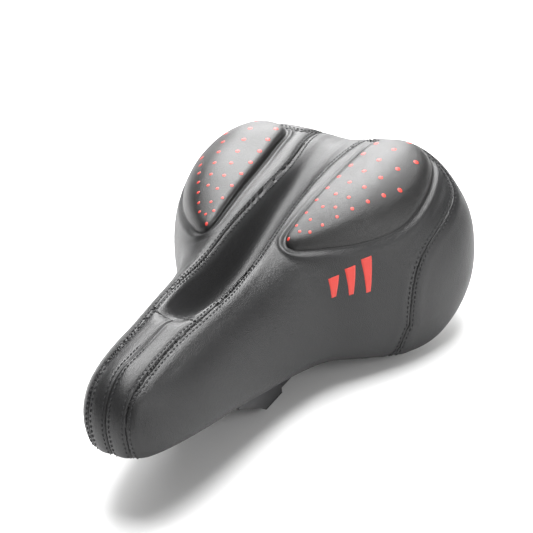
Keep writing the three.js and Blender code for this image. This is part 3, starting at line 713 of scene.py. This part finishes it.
def pad_outline():
    """Plan outline of the left gel pad, a tear drop with its point forward, as an even closed curve."""
    points = [[26.5, 145.2], [31, 145.2], [36.5, 148.4], [44, 154.5], [52, 162], [60, 171], [67, 181],
              [72.5, 192], [75.5, 203], [76.5, 214], [75.5, 226], [72, 238], [66, 247], [57, 252.5],
              [46, 254], [35.5, 251.5], [30, 245], [28, 229], [26.5, 212], [25.3, 195], [24.6, 178],
              [24, 161], [24, 150]]
    return even_curve(points, 0.8, closed=True)


PAD_LINE = pad_outline()


def inside_pad(px, py):
    """True inside the pad's outline, by counting the crossings of a ray."""
    a, b = PAD_LINE, np.roll(PAD_LINE, -1, axis=0)
    crosses = (a[None, :, 1] > py[:, None]) != (b[None, :, 1] > py[:, None])
    rise = np.where(np.abs(b[:, 1] - a[:, 1]) < 1e-9, 1e-9, b[:, 1] - a[:, 1])
    at = a[None, :, 0] + (py[:, None] - a[None, :, 1]) * ((b[:, 0] - a[:, 0]) / rise)[None]
    return (crosses & (px[:, None] < at)).sum(1) % 2 == 1


def pad_edge_distance(px, py):
    """Plan distance to the pad's outline, negative inside it."""
    px, py = np.abs(np.ravel(px)), np.ravel(py)
    out = np.full(len(px), 99.0)
    close = (px > 12) & (px < 90) & (py > 130) & (py < 268)
    plan = np.stack([px[close], py[close]], 1)
    gap = nearest(plan, PAD_LINE)[1]
    chunk = 4000
    held_in = [inside_pad(plan[k:k + chunk, 0], plan[k:k + chunk, 1]) for k in range(0, len(plan), chunk)]
    out[close] = np.where(np.concatenate([np.zeros(0, bool), *held_in]), -gap, gap)
    return out


pad_edge = np.where(cover_a < 1, pad_edge_distance(x, y), far)


def cover_dress():
    """How far the leather stands off the plain surface: sewn valleys with swells beside them and a dip under
    each stitch line, and round each gel pad a pressed crease, a thin rim and a second shallow crease."""
    sewn = (-SEAM_DEPTH * bump(seam_gap, 0, SEAM_WIDTH)
            + SEAM_SWELL * bump(seam_gap, SEAM_SWELL_PLACE, SEAM_SWELL_WIDTH)
            - STITCH_DIP * bump(seam_gap, STITCH_OFFSET, STITCH_DIP_WIDTH))
    clear = smooth(1.0, 4.0, seam_gap)
    pressed = sum(height * bump(pad_edge, place, width) for height, place, width in PAD_CREASES)
    under_pad = -PAD_BED * smooth(0.5, -3.0, pad_edge)
    hem = smooth(2.05, 2.0, cover_a)
    return (sewn + clear * pressed + under_pad) * hem


dressed = snapped + cover_dress()[:, None] * normals
dressed[same != np.arange(len(same))] = dressed[same[same != np.arange(len(same))]]

# Each quad is split along the diagonal that lies closer to a seam, and each half goes to one panel.
corner_gap = seam_gap[quads]
along_first = corner_gap[:, 0] + corner_gap[:, 2] <= corner_gap[:, 1] + corner_gap[:, 3]
first, second = quads[along_first], quads[~along_first]
triangles = np.concatenate([first[:, [0, 1, 2]], first[:, [0, 2, 3]],
                            second[:, [0, 1, 3]], second[:, [1, 2, 3]]])
triangles = triangles[(triangles[:, 0] != triangles[:, 1]) & (triangles[:, 1] != triangles[:, 2])
                      & (triangles[:, 0] != triangles[:, 2])]


def middle_of(values):
    return values[triangles].mean(1)


rear_side = np.where(held & (np.abs(rear_distance) < catch), 0, rear_distance)
long_side = np.where(held & (np.abs(long_distance) < catch), 0, long_distance)
front_side = np.where(held & (np.abs(front_distance) < catch), 0, front_distance)
is_rear = middle_of(rear_side) > 0
is_strip = (middle_of(long_side) < 0) & ~is_rear
is_nose = is_strip & (middle_of(front_side) < 0)
is_left = middle_of(x) > 0
panels = {
    "rear_panel": is_rear,
    "groove_panel": is_strip & ~is_nose,
    "nose_panel_left": is_nose & is_left,
    "nose_panel_right": is_nose & ~is_left,
    "side_panel_left": ~is_rear & ~is_strip & is_left,
    "side_panel_right": ~is_rear & ~is_strip & ~is_left,
}


def add_panel(node_name, chosen):
    """One sewn panel of the cover: its share of the grid, given the leather's thickness inwards."""
    used, faces = np.unique(triangles[chosen], return_inverse=True)
    piece = make_piece("cover_" + node_name, to_frame(dressed[used]), faces.reshape(-1, 3), COVER_LEATHER)
    wall = piece.modifiers.new("leather", "SOLIDIFY")
    wall.thickness = LEATHER_THICKNESS * MM
    wall.offset = -1
    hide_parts(node_name)


for panel_name, panel_triangles in panels.items():
    add_panel(panel_name, panel_triangles)

# ---- stitches -----------------------------------------------------------------------------------------


def stitch_places(line, offset):
    """Middle, direction and normal of each stitch in a row beside a seam line, laid on the dressed cover."""
    spots = even_curve(line, STITCH_PITCH)
    run = np.gradient(spots, axis=0)
    run /= np.linalg.norm(run, axis=1, keepdims=True)
    index, _ = nearest(spots, cover_points)
    up = normals[index]
    side = np.cross(run, up)
    side /= np.linalg.norm(side, axis=1, keepdims=True)
    beside = spots + offset * side
    index, _ = nearest(beside, dressed)
    up = normals[index]
    beside -= ((beside - dressed[index]) * up).sum(1, keepdims=True) * up
    run -= (run * up).sum(1, keepdims=True) * up
    return beside, run / np.linalg.norm(run, axis=1, keepdims=True), up


def stitch_row(line, offset):
    """Row of stitches: each a short thread that arches out of one needle hole and into the next."""
    middle, run, up = stitch_places(line, offset)
    side = np.cross(run, up)
    u = np.linspace(-1, 1, 6)
    arch = THREAD_RADIUS * (THREAD_ARCH - THREAD_DIVE * u ** 4)
    girth = THREAD_RADIUS * (1 - THREAD_TAPER * u ** 2)
    turn = np.linspace(0, 2 * np.pi, 6, endpoint=False)
    spine = (middle[:, None] + run[:, None] * (u * STITCH_LENGTH / 2)[None, :, None]
             + up[:, None] * arch[None, :, None])
    ringed = (np.cos(turn)[None, None, :, None] * side[:, None, None]
              + np.sin(turn)[None, None, :, None] * up[:, None, None])
    points = spine[:, :, None] + ringed * girth[None, :, None, None]
    count = len(u) * len(turn)
    one = grid_quads(len(u), len(turn), wrap_columns=True)
    faces = one[None] + (np.arange(len(middle)) * count)[:, None, None]
    return points.reshape(-1, 3), faces.reshape(-1, 4)


def add_stitching(name, lines):
    """All the double stitching of one seam as one piece."""
    points, faces, total = [], [], 0
    for line in lines:
        for offset in (-STITCH_OFFSET, STITCH_OFFSET):
            p, f = stitch_row(line, offset)
            points.append(p)
            faces.append(f + total)
            total += len(p)
    merged(make_piece(name, to_frame(np.vstack(points)), np.vstack(faces), THREAD),
           FINE_MERGE)


long_line = long_seam_line()
add_stitching("stitching_long_left", [long_line])
add_stitching("stitching_long_right", [mirror(long_line)])
add_stitching("stitching_centre", [centre_seam_line()[:-3]])
add_stitching("stitching_rear", [np.vstack([mirror(rear_line[::-1])[:-1], rear_line])])

# ---- gel pads and their printed dots ------------------------------------------------------------------


def pad_top(px, py):
    """Height of a gel pad's skin: the cover's height plus a rise that rounds over near the outline."""
    depth = np.clip(-pad_edge_distance(px, py), 0, None)
    outer = smooth(28, 58, np.ravel(px)) * (1 - 0.5 * smooth(228, 254, np.ravel(py)))
    rise = PAD_RISE_INNER + (PAD_RISE_OUTER - PAD_RISE_INNER) * outer
    width = PAD_FILLET * rise / PAD_RISE_INNER
    u = 1 - np.clip(depth / width, 0, 1)
    swell = (1 - u ** PAD_ROUNDNESS) ** (1 / PAD_ROUNDNESS)
    return cover_height(np.ravel(px), np.ravel(py)) + rise * swell - PAD_RIM_DROP * (1 - swell)


# Rings from the pad's middle to its outline, closer together over the rounded rim.
PAD_STEPS = np.concatenate([np.linspace(0, 0.6, 22), 1 - (1 - np.linspace(0, 1, 44)[1:]) ** 1.5 * 0.4])
PAD_UNDER_STEPS = np.array([1.0, 0.97, 0.7, 0.35])


def add_pad(name, side):
    """Thermoformed gel pad: rings drawn from its middle to its outline, closed underneath."""
    centre = np.array(PAD_CENTRE)
    rim = PAD_LINE - centre
    plan = centre + rim[None] * PAD_STEPS[1:, None, None]
    top_z = pad_top(plan[..., 0], plan[..., 1]).reshape(plan.shape[:2])
    top = np.concatenate([plan, top_z[..., None]], 2)
    low_plan = centre + rim[None] * PAD_UNDER_STEPS[:, None, None]
    low_z = cover_height(low_plan[..., 0], low_plan[..., 1]) - PAD_SUNK
    low = np.concatenate([low_plan, low_z[..., None]], 2)
    rings = np.concatenate([top, low])
    poles = np.array([[*centre, pad_top(*centre[:, None])[0]],
                      [*centre, cover_height(*centre[:, None])[0] - PAD_SUNK]])
    points = np.vstack([rings.reshape(-1, 3), poles]) * [side, 1, 1]
    n = len(PAD_LINE)
    faces = grid_quads(len(rings), n, wrap_columns=True).tolist()
    last = (len(rings) - 1) * n
    for k in range(n):
        faces.append([len(points) - 2, k, (k + 1) % n])
        faces.append([len(points) - 1, last + (k + 1) % n, last + k])
    piece = merged(make_piece("pad_skin_" + name, to_frame(points), faces, PAD_LEATHER))
    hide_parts("gel_pad_" + name)


# Rows of dots on a pad, as plan curves through [x, y] points, and how many dots each row holds.
DOT_ROWS = [
    ([[27.0, 146.9], [27.8, 165.9], [28.8, 188.8], [30.8, 214.3], [34.4, 241.9]], 9),
    ([[31.1, 152.9], [34.7, 171.3], [39.5, 195.9], [45.8, 222.2], [52.6, 249.2]], 9),
    ([[36.5, 154.7], [44.6, 166.8], [54.7, 183.6], [67, 206]], 7),
    ([[42.4, 174.8], [50.8, 196.6], [60.2, 221.7], [65, 232]], 6),
]


def dot_places():
    """Middle and radius of each printed dot, the dots growing towards the rear."""
    places = []
    for points, count in DOT_ROWS:
        fine = even_curve(np.array(points, float), 0.5)
        reach = np.linspace(0, 1, count) ** DOT_STRETCH * (len(fine) - 1)
        row = np.stack([np.interp(reach, np.arange(len(fine)), fine[:, k]) for k in range(2)], 1)
        places.append(row)
    plan = np.vstack(places)
    size = DOT_FRONT_RADIUS + (DOT_REAR_RADIUS - DOT_FRONT_RADIUS) * smooth(150, 235, plan[:, 1])
    return plan, size


def add_dots(name, side):
    """Printed dots: low domed discs laid on the pad's skin."""
    plan, size = dot_places()
    turn = np.linspace(0, 2 * np.pi, 16, endpoint=False)
    share = np.array([1.0, 0.86, 0.5, 0.02])
    lift = np.array([-0.12, 0.1, 0.16, 0.17])
    circle = np.stack([np.cos(turn), np.sin(turn)], 1)
    spot = plan[:, None, None] + circle[None, None] * (size[:, None] * share[None])[:, :, None, None]
    height = pad_top(spot[..., 0], spot[..., 1]).reshape(spot.shape[:3]) + lift[None, :, None]
    points = np.concatenate([spot, height[..., None]], 3).reshape(-1, 3) * [side, 1, 1]
    one = grid_quads(len(share), len(turn), wrap_columns=True).tolist()
    one.append([(len(share) - 1) * len(turn) + k for k in range(len(turn))])
    faces = [[v + d * len(share) * len(turn) for v in f] for d in range(len(plan)) for f in one]
    merged(make_piece("pad_dots_" + name, to_frame(points), faces, RED_PRINT), FINE_MERGE)


for side_name, side_sign in (("left", 1), ("right", -1)):
    add_pad(side_name, side_sign)
    add_dots(side_name, side_sign)

# ---- printed mark on the left flank: three slanted bars -----------------------------------------------

MARK_PLACE = (49.0, 155.0)     # plan point on whose ray from the spine the mark sits
MARK_LEVEL = 0.70              # share of the way down the flank
BAR_HALF_LENGTH = 10.5
BAR_HALF_WIDTH = 2.8
BAR_SPACING = 10.5
BAR_SLANT = 0.4
BAR_TAPER = 0.45
BAR_LIFT = 0.22
BAR_SUNK = -0.3                # rim of each bar, let into the leather


def add_mark():
    """Three tapered and slanted bars side by side on the left flank, laid on the dressed cover."""
    t0 = plan_to_surface(*(np.array([v]) for v in MARK_PLACE))[0][0]
    step = 1e-3
    here, beside, below = (cover_point(np.array([t]), np.array([a]))[0]
                           for t, a in ((t0, MARK_LEVEL), (t0 + step, MARK_LEVEL), (t0, MARK_LEVEL + step)))
    per_t = np.linalg.norm(beside - here) / step
    per_a = np.linalg.norm(below - here) / step
    u, v = np.meshgrid(np.linspace(-1, 1, 33), np.linspace(-1, 1, 9), indexing="ij")
    points, faces, total = [], [], 0
    for shift, length in ((-1, 0.6), (0, 0.8), (1, 1.0)):
        down = u * BAR_HALF_LENGTH * length
        across = v * BAR_HALF_WIDTH * (1 - BAR_TAPER * u) + shift * BAR_SPACING - BAR_SLANT * down
        t, a = t0 + across / per_t, MARK_LEVEL + down / per_a
        skin = cover_point(t, a)
        up = np.cross(cover_point(t, a + step) - skin, cover_point(t + step, a) - skin)
        up /= np.linalg.norm(up, axis=2, keepdims=True)
        up *= np.where(up[..., :1] < 0, -1, 1)
        index, _ = nearest(skin.reshape(-1, 3), dressed)
        stand = ((dressed[index].reshape(skin.shape) - skin) * up).sum(2)
        rim = (np.abs(u) > 0.97) | (np.abs(v) > 0.97)
        raised = stand + np.where(rim, BAR_SUNK, BAR_LIFT)
        points.append((skin + up * raised[..., None]).reshape(-1, 3))
        faces.append(grid_quads(*u.shape) + total)
        total += u.size
    merged(make_piece("flank_mark", to_frame(np.vstack(points)), np.vstack(faces), RED_PRINT), FINE_MERGE)


add_mark()

# ---- foam and base shell ------------------------------------------------------------------------------

FOAM_INSET = 5.0
PAN_INSET = 6.7
PAN_CROWN = 3.0
PAN_RIM_LIFT = 5.0
PAN_THICKNESS = 3.0
PAN_ROUNDNESS = 2.6
PAN_GAP = 0.35


def pan_point(t, r, drop):
    """Shell's upper skin, drop below it: from its crown on the spine (r 0) to its rim (r 1)."""
    rim = cover_point(t, np.full(np.shape(t), 2.0), inset=PAN_INSET)
    _, oy, *_ = outline_at(t)
    sy = spine_y(oy)
    rim_z = rim[..., 2] + PAN_RIM_LIFT
    z_here = rim_z + (PAN_CROWN - rim_z) * (1 - r ** PAN_ROUNDNESS) - drop
    return np.stack([rim[..., 0] * r, sy + (rim[..., 1] - sy) * r, z_here], -1)


def loop_body(name, levels, finish):
    """Closed body from loops round the saddle, the first and last of which lie flat on the spine."""
    t = half_t[::4]
    t = np.append(t, 1.0) if t[-1] < 1 else t
    rings = []
    for level in levels:
        half = level(t)
        rings.append(np.concatenate([half, mirror(half[-2:0:-1])]))
    rings = np.array(rings)
    faces = grid_quads(*rings.shape[:2], wrap_columns=True)
    return merged(make_piece(name, to_frame(rings.reshape(-1, 3)), faces, finish), 2e-5)


foam_rows = np.concatenate([np.linspace(0, 1, 40), np.linspace(1, 2, 10)[1:]])
pan_rows = 1 - (1 - np.linspace(0, 1, 30)) ** 1.4
foam_levels = [lambda t, a=a: cover_point(t, np.full(len(t), a), inset=FOAM_INSET) for a in foam_rows]
foam_levels += [lambda t, r=r: pan_point(t, r, -PAN_GAP) for r in pan_rows[::-1]]
foam = loop_body("foam_padding", foam_levels, FOAM)
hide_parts("foam_core")

shell_levels = [lambda t, r=r: pan_point(t, r, 0) for r in pan_rows]
shell_levels += [lambda t, r=r: pan_point(t, r, PAN_THICKNESS) for r in pan_rows[::-1]]
shell = loop_body("moulded_shell", shell_levels, SHELL_PLASTIC)
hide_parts("base_shell")

# ---- rails, clamp and other hard parts ----------------------------------------------------------------


def rounded_copy(node_name, finish, body, width):
    """Copy of a CAD node with its doubles merged and its sharp edges rounded."""
    source = frame["nodes"][node_name]
    piece = bpy.data.objects.new("part_" + node_name, source.data.copy())
    bpy.context.scene.collection.objects.link(piece)
    merged(piece, 2e-6)
    b = bmesh.new()
    b.from_mesh(piece.data)
    bmesh.ops.dissolve_limit(b, angle_limit=math.radians(1.0), verts=b.verts, edges=b.edges)
    b.to_mesh(piece.data)
    b.free()
    piece.data.materials.clear()
    piece.data.materials.append(finish)
    piece.data.polygons.foreach_set("use_smooth", np.full(len(piece.data.polygons), True))
    edge = piece.modifiers.new("rounded edges", "BEVEL")
    edge.width = width * MM
    edge.segments = 2
    edge.limit_method = "ANGLE"
    edge.angle_limit = math.radians(35)
    edge.use_clamp_overlap = True
    edge.harden_normals = True
    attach(piece, body)
    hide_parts(node_name)


node_bodies = {n: b for b, members in frame["record"]["behaviour"]["bodies"].items() for n in members}
HARD_PARTS = [
    (("post_collar",), PAINT, "black_steel", 0.8),
    (("inner_cup_left", "inner_cup_right", "outer_cup_left", "outer_cup_right"), PAINT, "black_steel", 0.6),
    (("rear_bridge",), PAINT, "black_steel", 0.6),
    (("clamp_washer_left", "clamp_washer_right"), ZINC, "zinc_steel", 0.25),
    (("clamp_nut_left", "clamp_nut_right", "damper_nut_left", "damper_nut_right"), ZINC, "zinc_steel", 0.4),
    (("clamp_bolt", "damper_stud_left", "damper_stud_right"), ZINC, "zinc_steel", 0.4),
    (("socket_screw_left", "socket_screw_right"), ZINC, "zinc_steel", 0.3),
    (("socket_body", "socket_cap"), SHELL_PLASTIC, "shell_plastic", 0.9),
    (("damper_left", "damper_right"), RUBBER, "damper_rubber", 0.8),
]
for names, finish, slot_name, width in HARD_PARTS:
    for n in names:
        rounded_copy(n, finish, node_bodies[n], width)


RAIL_BEND = 7.0
RAIL_STRAIGHT_REAR = -8.0      # y where the straight clamping length ends
RAIL_END_X = 21.5
RAIL_END_DIP = 0.1             # the wire's sag ahead of the bridge
RAIL_END_GAP = 0.35            # between the wire and the bridge's underside
RAIL_END_INSET = 2.0           # from the bridge's rear edge to the wire's ends


def rail_path():
    """Half of the bent wire from its middle to its tail, in frame millimetres."""
    front_slack = 0.2          # the frame's own wire has flats, which stop short of the true circle
    pivot_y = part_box("rails")[0].y / MM + RAIL_RADIUS + front_slack
    turn = np.radians([0, 30, 60, 90])
    corner = np.stack([RAIL_HALF_SPACING - RAIL_BEND * (1 - np.sin(turn)),
                       pivot_y + RAIL_BEND * (1 - np.cos(turn)), RAIL_Z + 0 * turn], 1)
    low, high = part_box("rear_bridge")
    front, back = low.y / MM, high.y / MM
    end_z = low.z / MM - RAIL_END_GAP - RAIL_RADIUS
    rear = RAIL_STRAIGHT_REAR
    straight = [[RAIL_HALF_SPACING, y, RAIL_Z] for y in
                (pivot_y + 2 * RAIL_BEND, (pivot_y + RAIL_BEND + rear) / 2, rear - RAIL_BEND, rear)]
    tail = [[(RAIL_HALF_SPACING + RAIL_END_X) / 2, (rear + front) / 2, (RAIL_Z + end_z) / 2],
            [RAIL_END_X, front, end_z - RAIL_END_DIP], [RAIL_END_X, back - RAIL_END_INSET, end_z]]
    return np.vstack([corner, straight, tail]), pivot_y


half_rail, rail_pivot_y = rail_path()
wire = np.vstack([mirror(half_rail[::-1]), [[0, rail_pivot_y, RAIL_Z]], half_rail])
rail_points, rail_faces = tube(even_curve(wire, 1.5), RAIL_RADIUS)
rails = merged(make_piece("bent_rails", rail_points * MM, rail_faces, PAINT, "rail_frame"))
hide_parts("rails")

# ---- floor, lights and camera -------------------------------------------------------------------------

floor_finish = grained("pale_floor", (0.80, 0.80, 0.80), (0.84, 0.84, 0.84), 0.9, 60.0, 0.02, 0.0002)
floor_mesh = bpy.data.meshes.new("floor")
floor_half = 6.0
floor_drop = 0.0005
floor_corners = [(sx * floor_half, sy * floor_half, cad_box[0].z - floor_drop)
                 for sx, sy in ((-1, -1), (1, -1), (1, 1), (-1, 1))]
floor_mesh.from_pydata(floor_corners, [], [(0, 1, 2, 3)])
floor_mesh.materials.append(floor_finish)
floor = bpy.data.objects.new("floor", floor_mesh)
bpy.context.scene.collection.objects.link(floor)


def add_light(name, place, target, size, power):
    """Square soft box at a place, facing a target."""
    data = bpy.data.lights.new(name, "AREA")
    data.energy = power
    data.size = size
    lamp = bpy.data.objects.new(name, data)
    bpy.context.scene.collection.objects.link(lamp)
    lamp.location = place
    lamp.rotation_euler = (Vector(target) - Vector(place)).to_track_quat("-Z", "Y").to_euler()


middle = (0.0, -0.06, 0.06)
add_light("top_soft_box", (-0.1, 0.35, 1.9), middle, 1.3, 74.0)
add_light("rear_soft_box", (-0.75, 1.25, 0.95), middle, 1.0, 42.0)
add_light("side_soft_box", (1.6, -0.3, 0.7), middle, 0.9, 13.0)

world = bpy.data.worlds.new("studio")
bpy.context.scene.world = world
world.use_nodes = True
world.node_tree.nodes["Background"].inputs["Color"].default_value = (1, 1, 1, 1)
world.node_tree.nodes["Background"].inputs["Strength"].default_value = 0.28

CAMERA_PLACE = Vector((0.4180, -0.6501, 0.4847))
CAMERA_RIGHT = Vector((0.8558, 0.5045, -0.1144))
CAMERA_UP = Vector((-0.1708, 0.4841, 0.8581))
CAMERA_BACK = Vector((0.4884, -0.7148, 0.5005))
camera_data = bpy.data.cameras.new("camera")
camera_data.lens = 100.0
camera_data.sensor_width = 36.0
camera = bpy.data.objects.new("camera", camera_data)
bpy.context.scene.collection.objects.link(camera)
turn_matrix = Matrix((CAMERA_RIGHT, CAMERA_UP, CAMERA_BACK)).transposed().to_4x4()
camera.matrix_world = Matrix.Translation(CAMERA_PLACE) @ turn_matrix
bpy.context.scene.camera = camera
bpy.context.scene.view_settings.view_transform = "Standard"
